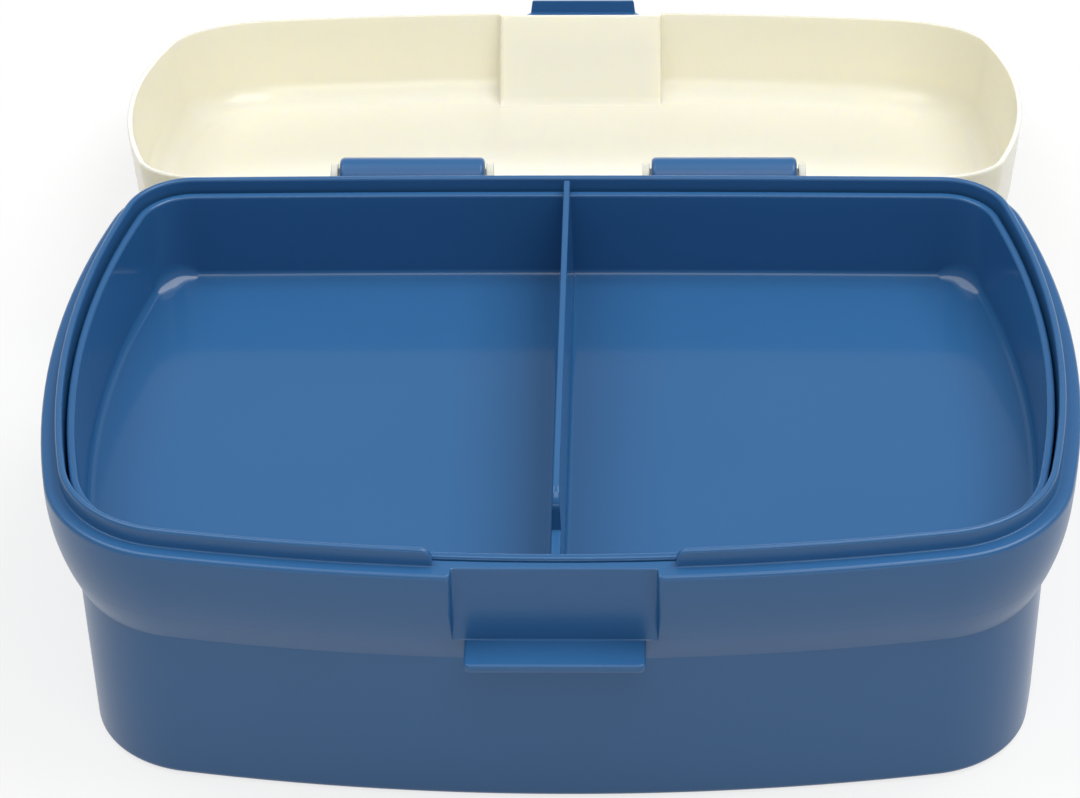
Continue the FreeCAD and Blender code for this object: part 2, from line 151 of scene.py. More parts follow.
class BaseSizes(bpy.types.PropertyGroup):
    rim_z: length("Rim height", "Height of the flat rim", 58)
    crease_z: length("Crease height", "Height of the crease under the collar", 35)
    crease_inset: length("Crease inset", "How far the crease lies inside the rim", 5.1)
    crease_round: length("Crease round", "Radius in the crease", 0.35)
    bottom_inset: length("Bottom inset", "How far the bottom lies inside the rim", 6.2)
    bottom_round: length("Bottom round", "Radius of the bottom edge", 1.5)
    wall: length("Wall", "Wall of the lower body", 2.6)
    floor: length("Floor", "Thickness of the floor", 2.2)
    inner_round: length("Inner round", "Radius inside the floor's edge", 4)
    rim_edge: length("Rim edge", "Upright band at the rim", 1.2)
    rim_round: length("Rim round", "Radius of the rim's edge", 0.9)
    lip_inset: length("Lip inset", "How far the lip stands inside the rim", 3)
    lip_verge: length("Lip verge", "How far in front of the lip the rim's flat ends", 0.5)
    lip_foot: length("Lip foot", "Radius at the foot of the lip", 0.3)
    lip_wall: length("Lip wall", "Thickness of the lip", 1.4)
    lip_height: length("Lip height", "Height of the lip over the rim", 3.7)
    lip_round: length("Lip round", "Radius of the lip's top edges", 0.68)
    lip_gap: length("Lip gap", "Width of the gap in the lip over the clip", 44.6)
    lip_end_round: length("Lip end round", "Radius at the lip's ends", 2.2)
    land_reach: length("Land reach", "How far the land in the lip's gap reaches over the tray's gap",
                       0.4)
    land_round: length("Land round", "Radius of the land's edge over the recess", 0.35)
    tray_rib: length("Tray rib", "How far the rib that centres the tray stands in", 0.42)
    rib_start: length("Rib start", "How far below the rim the rib's upper slope begins", 0.3)
    rib_top: length("Rib top", "How far below the rim the rib's face begins", 1.5)
    rib_bottom: length("Rib bottom", "How far below the rim the rib's face ends", 3)
    rib_end: length("Rib end", "How far below the rim the rib's lower slope ends", 5)
    shoulder_z: length("Shoulder height", "Height of the seat under the tray", 38)
    shoulder_wall: length("Shoulder wall", "Wall behind the seat", 2.1)
    shoulder_round: length("Shoulder round", "Radius of the seat's inner edge", 0.5)
    cove_height: length("Cove height", "Height of the slope over the seat", 5)
    cove_round: length("Cove round", "Radius at the top of the slope over the seat", 6)
    recess_width: length("Recess width", "Width of the clip's recess", 38)
    recess_depth: length("Recess depth", "Depth of the clip's recess at the rim", 3)
    recess_foot: length("Recess foot", "Height over which the recess ends on the ledge", 0.15)
    ledge_width: length("Ledge width", "Width of the catch ledge", 33.5)
    ledge_reach: length("Ledge reach", "How far the ledge stands out of the rim", 4.7)
    ledge_z: length("Ledge height", "Height of the ledge's top", 41.4)
    ledge_nose: length("Ledge nose", "Thickness of the ledge's nose", 1.8)
    ledge_flat: length("Ledge flat", "Depth of the flat under the nose", 3.5)
    ledge_fall: length("Ledge fall", "How far the flat under the nose falls to the root", 0.1)
    ledge_root: length("Ledge root", "Height of the slope under the ledge", 5)
    ledge_soft: length("Ledge soft edge", "Radius of the nose's upper and lower edges", 0.6)
    ledge_corner: length("Ledge corner", "Radius of the ledge's corners", 1.2)
    root_depth: length("Root depth", "Depth of the ledge's root at its lower end", 0.5)
    root_corner: length("Root corner", "Radius of the root's corners at its lower end", 0.4)
    hook_x: length("Hook place", "Distance of a hinge hook from the middle", 32.3)
    hook_length: length("Hook length", "Length of a hinge hook", 30)
    hook_bore: length("Hook bore", "Radius of the hook's bore", 1.8)
    hook_wall: length("Hook wall", "Wall of the hook", 2.2)
    hook_round: length("Hook round", "Radius at the hook's ends", 0.9)
    hook_mouth: length("Hook mouth", "Width of the hook's mouth", 2.6)
    hook_turn: turn("Hook turn", "Angle of the hook's mouth over the level", -60)


class TraySizes(bpy.types.PropertyGroup):
    bottom_z: length("Bottom height", "Height of the tray's underside", 38.3)
    top_z: length("Top height", "Height of the tray's rim", 58.9)
    inset: length("Inset", "How far the tray lies inside the base's rim", 5)
    draft: length("Draft", "How much the walls lean in", 1.1)
    wall: length("Wall", "Thickness of the wall", 1.6)
    floor: length("Floor", "Thickness of the floor", 1.6)
    inner_round: length("Inner round", "Radius inside the floor's edge", 1.5)
    corner_round: length("Corner round", "Radius inside the floor's edge in the corners", 4.5)
    outer_round: length("Outer round", "Radius outside the floor's edge", 0.8)
    rim_round: length("Rim round", "Radius outside the rim's edge", 0.5)
    front_rim: length("Front rim", "Radius outside the rim's edge at the front", 0.9)
    inner_rim: length("Inner rim", "Radius inside the rim's edge", 0.65)
    divider_top: length("Divider top", "Thickness of the divider's top", 1.3)
    divider_foot: length("Divider foot", "Thickness of the divider's foot", 2.6)
    divider_rise: length("Divider rise", "Height of the divider over the rim", 2.8)
    divider_step: length("Divider step", "Distance of the step from the middle", 45.5)
    divider_drop: length("Divider drop", "Height of the step", 8.3)
    divider_dip: length("Divider dip", "How far the low part falls to its front end", 0.2)
    divider_toe: length("Divider toe", "Chamfer in the corner under the step", 0.15)
    divider_round: length("Divider round", "Radius over the step", 4)
    divider_crown: length("Divider crown", "Radius of the divider's top edges", 0.35)
    divider_fillet: length("Divider fillet", "Radius at the divider's foot", 0.9)


class LidSizes(bpy.types.PropertyGroup):
    rim_z: length("Rim height", "Height of the closed lid's rim", 58.3)
    top_z: length("Top height", "Height of the closed lid's top", 79.5)
    inset: length("Inset", "How far the lid's rim lies inside the base's", 1)
    rim_wall: length("Rim wall", "Wall at the rim", 1.2)
    wall: length("Wall", "Wall of the top", 1.6)
    draft: length("Draft", "How much the walls lean in", 2.8)
    round: length("Round", "Radius of the top edge", 8)
    rim_round: length("Rim round", "Radius of the rim's edges", 0.4)
    notch_width: length("Notch width", "Width of the clip's notch", 35.2)
    notch_wall: length("Notch wall", "Wall of the notch", 1.45)
    notch_rim: length("Notch rim inset", "Inset of the notch's inner face at the rim", 4.6)
    notch_top: length("Notch top inset", "Inset of the notch's outer face at the top", 10.7)
    notch_edge: length("Notch edge", "Radius of the top edge over the notch", 0.6)
    notch_fillet: length("Notch fillet", "Radius at the foot of the notch's inner face", 2.4)
    bar_radius: length("Bar radius", "Radius of the hinge bars", 1.7)
    bar_round: length("Bar round", "Radius at the ends of the bars", 0.2)
    ear_wall: length("Ear wall", "Wall round the bars in the ears", 1.2)
    ear_thickness: length("Ear thickness", "Thickness of an ear", 1.5)
    ear_height: length("Ear height", "How high the ears run up the wall", 8)
    ear_lift: length("Ear lift", "How far over the rim the ears begin", 0.3)
    ear_turn: turn("Ear turn", "Angle over the level at which an ear leaves its ring", 37)
    ear_round: length("Ear round", "Radius of an ear's edges", 0.3)
    ear_gap: length("Ear gap", "Side clearance between an ear and a hook", 0.4)
    clip_bar: length("Clip bar", "Radius of the clip's bar", 1.3)


class ClipSizes(bpy.types.PropertyGroup):
    width: length("Width", "Width of the clip", 34)
    end_width: length("End width", "Width of the clip's free end", 23.8)
    thickness: length("Thickness", "Thickness of the plate", 1.9)
    edge_round: length("Edge round", "Radius of the plate's side edges", 0.4)
    pivot_inset: length("Pivot inset", "How far the pivot lies inside the rim", 2.8)
    pivot_z: length("Pivot height", "Height of the pivot with the lid closed", 66.5)
    bore: length("Bore", "Radius of the ring's bore", 1.4)
    ring_wall: length("Ring wall", "Wall of the ring", 1.3)
    mouth: length("Mouth", "Width of the ring's mouth", 2.3)
    mouth_turn: turn("Mouth turn", "Angle of the ring's mouth over the level when latched", 100)
    catch_reach: length("Catch reach", "How far the catch reaches under the ledge", 1.3)
    catch_height: length("Catch height", "Height of the catch", 2.2)
    catch_slant: length("Catch slant", "How far the catch's holding face drops to its tip", 1.1)
    catch_tip: length("Catch tip", "How far below the holding face's root the tip ends", 1.65)
    catch_round: length("Catch round", "Radius of the catch's edges", 0.15)
    catch_gap: length("Catch gap", "Clearance under the ledge", 0.3)
    face_gap: length("Face gap", "Clearance in front of the ledge's nose", 0.4)
    tab: length("Tab", "Length of the plate below the catch", 2.2)
    taper: length("Taper", "Height of the tapered end", 12)


class Colours(bpy.types.PropertyGroup):
    blue: colour("Blue", "Moulded blue of base, tray and clip", "#33699E")
    blue_deep: colour("Deep blue", "Darker drift in the moulded blue", "#306497")
    cream: colour("Cream", "Moulded cream of the lid", "#F5F0E0")
    cream_deep: colour("Deep cream", "Yellower drift in the cream", "#F3ECD5")
    floor: colour("Floor", "Pale studio floor as the camera sees it", "#FAFAFA")
    bounce: colour("Bounce", "Light that the floor throws back on the walls", "#B0B0B0")
    white: colour("White", "Studio walls and the white of the floor", "#FFFFFF")


class LunchBox(bpy.types.PropertyGroup):
    plan: PointerProperty(type=PlanSizes)
    base: PointerProperty(type=BaseSizes)
    tray: PointerProperty(type=TraySizes)
    lid: PointerProperty(type=LidSizes)
    clip: PointerProperty(type=ClipSizes)
    colours: PointerProperty(type=Colours)


def smooth_step(low, high, value):
    """Share from 0 at low to 1 at high, level at both ends."""
    t = min(max((value - low) / (high - low), 0.0), 1.0)
    return t * t * (3 - 2 * t)


def quarter(steps):
    """Angles through a quarter turn."""
    return [math.pi / 2 * i / steps for i in range(steps + 1)]


def step_weight(x, edge):
    """Share of a moulded step reached at x, for a step with its edges at plus and minus edge."""
    inside = (edge - abs(x)) / MM
    if inside <= EDGE_STEPS[0][0]:
        return 0.0
    for (a, weight_a), (b, weight_b) in zip(EDGE_STEPS, EDGE_STEPS[1:]):
        if inside <= b:
            return weight_a + (weight_b - weight_a) * (inside - a) / (b - a)
    return 1.0


def step_columns(edge):
    """Places of the columns that draw a moulded step."""
    return [edge - inside * MM for inside, _ in EDGE_STEPS]


class Column:
    """One station on the plan's outline: on an arc, or at front_x along the front.

    corner goes from 0 at the ends of a corner arc to 1 at its middle.
    """

    def __init__(self, cx, cy, radius, angle, front_x=None, corner=0.0):
        self.cx, self.cy, self.radius, self.angle = cx, cy, radius, angle
        self.front_x, self.corner = front_x, corner

    def at(self, inset):
        """The place in plan that lies inset inside the outline."""
        r = self.radius - inset
        if self.front_x is None:
            return self.cx + r * math.cos(self.angle), self.cy + r * math.sin(self.angle)
        fan = smooth_step(FAN_START, FAN_END, abs(self.front_x))
        x = self.front_x * (1 - fan * inset / self.radius)
        return x, self.cy - math.sqrt(r * r - x * x)

    def point(self, p):
        """A section's (inset, height) point at this column."""
        return Vector((*self.at(p[0]), p[1]))


def corner_centre(side, end, radius):
    """Centre of the corner circle that touches the side arc and the front or back arc inside."""
    (sx, sy, sr), (ex, ey, er) = side, end
    reach_s, reach_e = sr - radius, er - radius
    span = math.hypot(ex - sx, ey - sy)
    along = (reach_s ** 2 - reach_e ** 2 + span ** 2) / (2 * span)
    across = math.sqrt(reach_s ** 2 - along ** 2)
    ux, uy = (ex - sx) / span, (ey - sy) / span
    options = [(sx + ux * along - k * uy * across, sy + uy * along + k * ux * across)
               for k in (1, -1)]
    return max(options, key=lambda c: c[0])


def outline(plan, front_places):
    """Columns anticlockwise round the plan; the front has one at each given place and its mirror."""
    half_w, half_d = plan.width / 2, plan.depth / 2
    side = (half_w - plan.side_radius, 0.0, plan.side_radius)
    front = (0.0, plan.front_radius - half_d, plan.front_radius)
    back = (0.0, half_d - plan.back_radius, plan.back_radius)
    bx, by = corner_centre(side, back, plan.back_corner)
    fx, fy = corner_centre(side, front, plan.front_corner)
    side_back, side_front = math.atan2(by, bx - side[0]), math.atan2(fy, fx - side[0])
    back_turn, front_turn = math.atan2(by - back[1], bx), math.atan2(fy - front[1], fx)
    pi, left_side = math.pi, (-side[0], 0.0, plan.side_radius)
    back_corner, front_corner = plan.back_corner, plan.front_corner
    n_back, n_front = BACK_CORNER_COLUMNS, FRONT_CORNER_COLUMNS

    def arc(cx, cy, r, start, end, n, corner=0):
        return [Column(cx, cy, r, start + (end - start) * i / n,
                       corner=corner * math.sin(pi * i / n)) for i in range(n)]

    columns = arc(*side, side_front, side_back, SIDE_COLUMNS)
    columns += arc(bx, by, back_corner, side_back, back_turn, n_back, 1)
    columns += arc(*back, back_turn, pi - back_turn, BACK_COLUMNS)
    columns += arc(-bx, by, back_corner, pi - back_turn, pi - side_back, n_back, 1)
    columns += arc(*left_side, pi - side_back, pi - side_front, SIDE_COLUMNS)
    columns += arc(-fx, fy, front_corner, pi - side_front, pi - front_turn, n_front, 1)
    join = plan.front_radius * math.cos(front_turn)
    places = {round(k * x, 7) for x in front_places if x < join - MM for k in (1, -1)}
    columns += [Column(*front, 0.0, x) for x in [-join] + sorted(places)]
    return columns + arc(fx, fy, front_corner, front_turn, side_front, n_front, 1)


def rounded_path(corners):
    """Points through (inset, z) corners; an (inset, z, round, steps) one is drawn as an arc."""
    points = [Vector(c[:2]) for c in corners]
    path = [points[0]]
    for before, point, after, corner in zip(points, points[1:], points[2:], corners[1:]):
        if len(corner) < 3:
            path.append(point)
            continue
        radius, steps = corner[2], corner[3]
        u, v = (before - point).normalized(), (after - point).normalized()
        half = u.angle(v) / 2
        centre = point + (u + v).normalized() * (radius / math.sin(half))
        start = point + u * (radius / math.tan(half)) - centre
        end = point + v * (radius / math.tan(half)) - centre
        sweep_angle = start.angle(end)
        for i in range(steps + 1):
            done = sweep_angle * i / steps
            arm = start * math.sin(sweep_angle - done) + end * math.sin(done)
            path.append(centre + arm / math.sin(sweep_angle))
    return path + [points[-1]]


def arc_points(centre, radius, start, end, steps):
    """Points on a circle in the (y, z) plane, angles in radians."""
    angles = [start + (end - start) * i / steps for i in range(steps + 1)]
    return [Vector((centre[0] + radius * math.cos(a), centre[1] + radius * math.sin(a)))
            for a in angles]


def bar_section(centre, radius, steps):
    """A full circle in the (y, z) plane."""
    return arc_points(centre, radius, 0, 2 * math.pi, steps)[:-1]


def skin(bm, rings):
    """Closed skin through rings that have the same number of points, with flat ends."""
    loops = [[bm.verts.new(p) for p in ring] for ring in rings]
    for a, b in zip(loops, loops[1:]):
        for i in range(len(a)):
            j = (i + 1) % len(a)
            bm.faces.new((a[i], a[j], b[j], b[i]))
    bm.faces.new(loops[0])
    bm.faces.new(loops[-1])


def sweep(bm, columns, rows):
    """Closed skin round the plan; rows gives each column's points from the first end to the last."""
    skin(bm, zip(*(rows(column) for column in columns)))


def drawn_in(section, depth):
    """A closed (y, z) section drawn in by depth all round."""
    around = list(zip(section[-1:] + section[:-1], section, section[1:] + section[:1]))
    side = math.copysign(1.0, sum(a.x * b.y - b.x * a.y for a, b, _ in around))
    points = []
    for before, point, after in around:
        u, v = (point - before).normalized(), (after - point).normalized()
        inward_u, inward_v = Vector((-u.y, u.x)) * side, Vector((-v.y, v.x)) * side
        points.append(point + (inward_u + inward_v) * (depth / (1 + inward_u.dot(inward_v))))
    return points


def prism(bm, section, x0, x1, edge_round, narrow=lambda z: 1.0):
    """Closed prism along X with rounded end edges.

    section(worn) gives its (y, z) outline with that much taken off the outside, and narrow(z)
    scales x by height.
    """
    ends = [(edge_round * (1 - math.cos(a)), section(edge_round * (1 - math.sin(a))))
            for a in quarter(4)]
    stations = [(x0 + step, s) for step, s in ends] + [(x1 - step, s) for step, s in reversed(ends)]
    skin(bm, [[Vector((x * narrow(p.y), p.x, p.y)) for p in s] for x, s in stations])


def add_node(tree, kind, inputs, **settings):
    """Adds a node, sets its options, and sets or links its inputs."""
    node = tree.nodes.new(kind)
    for name, value in settings.items():
        setattr(node, name, value)
    for name, value in inputs.items():
        if isinstance(value, bpy.types.NodeSocket):
            tree.links.new(value, node.inputs[name])
        else:
            node.inputs[name].default_value = value
    return node


def new_material(name):
    """An empty node material with its output."""
    material = bpy.data.materials.new(name)
    material.use_nodes = True
    tree = material.node_tree
    tree.nodes.clear()
    return material, tree, add_node(tree, "ShaderNodeOutputMaterial", {})


def moulded_polypropylene(name, light, deep, roughness, soak=0.0):
    """Injection-moulded polypropylene: waxy semi-gloss, faint flow drift, fine orange peel."""
    material, tree, output = new_material(name)
    place = add_node(tree, "ShaderNodeTexCoord", {}).outputs["Object"]
    # Flow drift is about 60 mm across and orange peel about 5 mm. The tool's grain is about 0.15 mm,
    # too fine to show in the render, so it is drawn at 0.9 mm
    drift_size, peel_size, grain_size = 60 * MM, 5 * MM, 0.9 * MM
    # The grain lifts and dulls the gloss a little, and stands a tenth as high as the orange peel
    swing, grain_share, relief_depth = 0.01, 0.1, 0.2 * MM
    drift = add_node(tree, "ShaderNodeTexNoise",
                     {"Vector": place, "Scale": 1 / drift_size, "Detail": 2.0})
    peel = add_node(tree, "ShaderNodeTexNoise",
                    {"Vector": place, "Scale": 1 / peel_size, "Detail": 1.0})
    grain = add_node(tree, "ShaderNodeTexNoise",
                     {"Vector": place, "Scale": 1 / grain_size, "Detail": 2.0})
    tint = add_node(tree, "ShaderNodeMix", {0: drift.outputs["Fac"], 6: light, 7: deep},
                    data_type="RGBA")
    gloss = add_node(tree, "ShaderNodeMapRange", {
        "Value": grain.outputs["Fac"], "From Min": 0.3, "From Max": 0.7,
        "To Min": roughness - swing, "To Max": roughness + swing})
    relief = add_node(tree, "ShaderNodeMath",
                      {0: grain.outputs["Fac"], 1: grain_share, 2: peel.outputs["Fac"]},
                      operation="MULTIPLY_ADD")
    bump = add_node(tree, "ShaderNodeBump", {
        "Height": relief.outputs[0], "Strength": 0.01, "Distance": relief_depth})
    shader = add_node(tree, "ShaderNodeBsdfPrincipled", {
        "Base Color": tint.outputs[2], "Roughness": gloss.outputs[0], "Normal": bump.outputs[0],
        "IOR": 1.49, "Subsurface Weight": soak, "Subsurface Radius": (1.0, 0.85, 0.5),
        "Subsurface Scale": 3.2 * MM})
    tree.links.new(shader.outputs[0], output.inputs["Surface"])
    return material


def satin_blue(colours):
    # Opaque blue polypropylene from a lightly blasted tool: broad soft reflections outside
    name = "polypropylene_blue_satin"
    shared = bpy.data.materials.get(name)
    return shared or moulded_polypropylene(name, colours.blue, colours.blue_deep, 0.3)


def gloss_blue(colours):
    # Opaque blue polypropylene from a polished tool: the walls mirror in the tray's floor
    return moulded_polypropylene("polypropylene_blue_gloss", colours.blue, colours.blue_deep, 0.12)


def cream_plastic(colours):
    # Thin cream polypropylene: light soaks into the wall, so it glows and its corners turn yellower
    return moulded_polypropylene("polypropylene_cream_translucent", colours.cream,
                                 colours.cream_deep, 0.2, soak=0.65)


def studio_floor(colours):
    # Smooth pale studio sweep: near white to the eye, and it still takes the object's shadow
    material, tree, output = new_material("studio_paper_matte")
    fibre_size, white_share = 4 * MM, 0.75
    place = add_node(tree, "ShaderNodeTexCoord", {}).outputs["Object"]
    fibre = add_node(tree, "ShaderNodeTexNoise", {"Vector": place, "Scale": 1 / fibre_size})
    rough = add_node(tree, "ShaderNodeMapRange", {
        "Value": fibre.outputs["Fac"], "To Min": 0.85, "To Max": 0.95})
    ray = add_node(tree, "ShaderNodeLightPath", {}).outputs
    mirrored = add_node(tree, "ShaderNodeMath",
                        {0: ray["Is Glossy Ray"], 1: ray["Is Transmission Ray"]},
                        operation="MAXIMUM")
    seen = add_node(tree, "ShaderNodeMath", {0: ray["Is Camera Ray"], 1: mirrored.outputs[0]},
                    operation="MAXIMUM")
    lit = add_node(tree, "ShaderNodeBsdfDiffuse", {
        "Color": colours.floor, "Roughness": rough.outputs[0]})
    glow = add_node(tree, "ShaderNodeEmission", {"Color": colours.white, "Strength": 1.0})
    paper = add_node(tree, "ShaderNodeMixShader", {
        0: white_share, 1: lit.outputs[0], 2: glow.outputs[0]})
    bounce = add_node(tree, "ShaderNodeBsdfDiffuse", {"Color": colours.bounce})
    shader = add_node(tree, "ShaderNodeMixShader", {
        0: seen.outputs[0], 1: bounce.outputs[0], 2: paper.outputs[0]})
    tree.links.new(shader.outputs[0], output.inputs["Surface"])
    return material


def finish_piece(bm, name, material, body):
    """Turns a bmesh into the piece that stands for the CAD node of the same body."""
    bmesh.ops.recalc_face_normals(bm, faces=bm.faces[:])
    for face in bm.faces:
        face.smooth = True
    for edge in bm.edges:
        edge.smooth = len(edge.link_faces) != 2 or edge.calc_face_angle() < SHARP_ANGLE
    mesh = bpy.data.meshes.new(name)
    bm.to_mesh(mesh)
    bm.free()
    mesh.materials.append(material)
    piece = bpy.data.objects.new(name, mesh)
    bpy.context.scene.collection.objects.link(piece)
    piece.modifiers.new("even_normals", "WEIGHTED_NORMAL").keep_sharp = True
    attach(piece, body)
    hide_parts(body)


def collar_inset(base, z):
    """Inset of the collar's outer face: an arc that leaves the rim upright and meets the crease."""
    top = base.rim_z - base.rim_edge
    drop = top - base.crease_z
    radius = (drop ** 2 + base.crease_inset ** 2) / (2 * base.crease_inset)
    return radius - math.sqrt(radius ** 2 - (top - z) ** 2)


def base_rows(base):
    """The base's wall section from the bottom's outside to the floor's inside, in stretches."""
    inner = base.lip_inset + base.lip_wall
    lip_top = base.rim_z + base.lip_height
    collar_top = base.rim_z - base.rim_edge
    foot_z = base.ledge_z + base.recess_foot
    verge = (base.lip_inset - base.lip_verge, base.rim_z)
    below = [base.crease_z + (base.ledge_z - base.crease_z) * i / 6 for i in range(1, 7)]
    above = [foot_z + (collar_top - foot_z) * i / 9 for i in range(10)]
    low = rounded_path([(base.bottom_inset + base.bottom_round + FLAT_STRIP, 0.0),
                        (base.bottom_inset, 0.0, base.bottom_round, 6),
                        (base.crease_inset, base.crease_z, base.crease_round, 3),
                        (collar_inset(base, below[0]), below[0])])
    low += [Vector((collar_inset(base, z), z)) for z in below[1:]]
    collar = [Vector((collar_inset(base, z), z)) for z in above]
    rim = rounded_path([(0.0, collar_top), (0.0, base.rim_z, base.rim_round, 4), verge])[1:]
    lip = rounded_path([verge, (base.lip_inset, base.rim_z, base.lip_foot, 3),
                        (base.lip_inset, lip_top, base.lip_round, 5),
                        (inner, lip_top, base.lip_round, 5), (inner, base.rim_z)])[1:]
    return low, collar, rim, lip, well_rows(base, inner)


def well_rows(base, inner):
    """The well's side from the lip's inner face to the floor, with the rib that centres the tray."""
    rib, well = inner + base.tray_rib, base.bottom_inset + base.wall
    seat = collar_inset(base, base.shoulder_z) + base.shoulder_wall
    return rounded_path([(inner, base.rim_z), (inner, base.rim_z - base.rib_start),
                         (rib, base.rim_z - base.rib_top), (rib, base.rim_z - base.rib_bottom),
                         (inner, base.rim_z - base.rib_end),
                         (inner, base.shoulder_z + base.cove_height, base.cove_round, 4),
                         (seat, base.shoulder_z),
                         (base.crease_inset + base.wall, base.shoulder_z, base.shoulder_round, 3),
                         (well, base.floor, base.inner_round, 6),
                         (well + base.inner_round + FLAT_STRIP, base.floor)])[1:]


def base_skin(bm, plan, base):
    """The base's swept wall with the gap in its lip and the clip's recess."""
    low, collar, rim, lip, well_side = base_rows(base)
    half_gap, end_round = base.lip_gap / 2, base.lip_end_round
    half_recess = base.recess_width / 2
    recess_y = base.recess_depth - plan.depth / 2
    land_end = base.lip_inset + base.lip_wall + base.land_reach

    def lip_share(x):
        """Share of the lip's height that stands at x."""
        beyond = abs(x) - half_gap
        if beyond < -HAIR:
            return 0.0
        if beyond >= end_round:
            return 1.0
        rise = math.sqrt(end_round ** 2 - (end_round - max(beyond, 0.0)) ** 2)
        return (base.lip_height - end_round + rise) / base.lip_height

    def lip_points(column, share):
        """The lip at that share of its height, or the flat land in its gap."""
        if share > 0:
            return [column.point((p.x, base.rim_z + (p.y - base.rim_z) * share)) for p in lip]
        run = (land_end - base.lip_inset) / len(lip)
        return [column.point((base.lip_inset + run * (i + 1), base.rim_z)) for i in range(len(lip))]

    def recess_points(column):
        """The recess's upright face and the land over it, as (y, z), a point for each row."""
        soft = base.land_round
        land = [Vector((recess_y, base.rim_z - soft)),
                Vector((recess_y + 0.3 * soft, base.rim_z - 0.3 * soft)),
                Vector((recess_y + soft, base.rim_z))]
        start, rest = land[-1].x, len(rim) + len(lip) - len(land)
        run = (column.at(land_end)[1] - start) / rest
        land += [Vector((start + run * (i + 1), base.rim_z)) for i in range(rest)]
        return [Vector((recess_y, p.y)) for p in collar] + land

    def rows(column):
        front = column.front_x is not None
        share = lip_share(column.front_x) if front else 1.0
        weight = step_weight(column.front_x, half_recess) if front else 0.0
        points = [column.point(p) for p in collar + rim] + lip_points(column, share)
        if weight > 0:
            points = [point.lerp(Vector((point.x, *target)), weight)
                      for point, target in zip(points, recess_points(column))]
        return [column.point(p) for p in low] + points + [column.point(p) for p in well_side]

    places = [x * MM for x in BASE_FRONT] + step_columns(half_recess) + [half_gap - LIP_GAP_STEP]
    places += [half_gap + end_round * k for k in LIP_END_STEPS]
    sweep(bm, outline(plan, places), rows)


def ledge_block(bm, plan, base):
    """Catch ledge under the recess: a flat nose with rounded edges on a sloping root."""
    nose, half = -plan.depth / 2 - base.ledge_reach, base.ledge_width / 2
    under = base.ledge_z - base.ledge_nose
    root_z, soft = under - base.ledge_root, base.ledge_soft

    def back(z):
        return -plan.depth / 2 + collar_inset(base, max(z, base.crease_z)) + base.wall / 2

    def ring(front, z, drawn=0.0, corner=base.ledge_corner):
        round_x, round_y, r = half - corner, front + corner, corner - drawn
        right = [(half - drawn, back(z))]
        right += [(round_x + r * math.cos(a), round_y - r * math.sin(a)) for a in quarter(6)]
        return [Vector((x, y, z)) for x, y in right + [(-x, y) for x, y in reversed(right)]]

    rings = [ring(nose, base.ledge_z - soft * (1 - math.cos(a)), soft * (1 - math.sin(a)))
             for a in quarter(4)]
    rings += [ring(nose + soft * (1 - math.cos(a)), under + soft * (1 - math.sin(a)))
              for a in quarter(4)]
    rings.append(ring(nose + base.ledge_flat, under - base.ledge_fall))
    rings.append(ring(back(root_z) - base.root_depth, root_z, corner=base.root_corner))
    skin(bm, rings)


def hook_section(plan, base, worn):
    """Outline of a hinge hook with its web, in the (y, z) plane."""
    bore, outer = base.hook_bore, base.hook_bore + base.hook_wall - worn
    centre, mouth = (HINGE.y, HINGE.z), base.hook_turn
    outer_half = math.asin(base.hook_mouth / 2 / outer)
    bore_half = math.asin(base.hook_mouth / 2 / bore)
    foot_z = HINGE.z - outer
    foot_y = plan.depth / 2 - collar_inset(base, foot_z) - base.wall / 2
    meet = math.pi - math.asin((base.rim_z - HINGE.z) / outer)
    section = [Vector((foot_y, base.rim_z))]
    section += arc_points(centre, outer, meet, mouth + outer_half, 20)
    section += arc_points(centre, bore, mouth + bore_half, 2 * math.pi + mouth - bore_half, 20)
    section += arc_points(centre, outer, mouth - outer_half, -math.pi / 2, 3)
    return section + [Vector((foot_y, foot_z - outer))]


def tray_section(tray, rim_round, fillet):
    """The tray's wall section from the bottom's outside to the floor's inside."""
    floor = tray.bottom_z + tray.floor
    slope = tray.draft / (tray.top_z - tray.bottom_z)
    outer_low, inner_top = tray.inset + tray.draft, tray.inset + tray.wall
    inner_low = inner_top + slope * (tray.top_z - floor)
    return rounded_path([(outer_low + tray.outer_round + FLAT_STRIP, tray.bottom_z),
                         (outer_low, tray.bottom_z, tray.outer_round, 4),
                         (tray.inset, tray.top_z, rim_round, 5),
                         (inner_top, tray.top_z, tray.inner_rim, 4),
                         (inner_low, floor, fillet, 6),
                         (inner_low + tray.corner_round + FLAT_STRIP, floor)])


def tray_skin(bm, plan, tray):
    """The tray's swept wall, rounder inside its corners and on the front of its rim."""
    plain = tray_section(tray, tray.rim_round, tray.inner_round)
    corner = tray_section(tray, tray.rim_round, tray.corner_round)
    front = tray_section(tray, tray.front_rim, tray.inner_round)

    def rows(column):
        if column.front_x is None:
            target, share = corner, column.corner
        else:
            gone = smooth_step(SOFT_RIM_START, SOFT_RIM_END, abs(column.front_x))
            target, share = front, 1 - gone
        return [column.point(a.lerp(b, share)) for a, b in zip(plain, target)]

    sweep(bm, outline(plan, [x * MM for x in TRAY_FRONT]), rows)


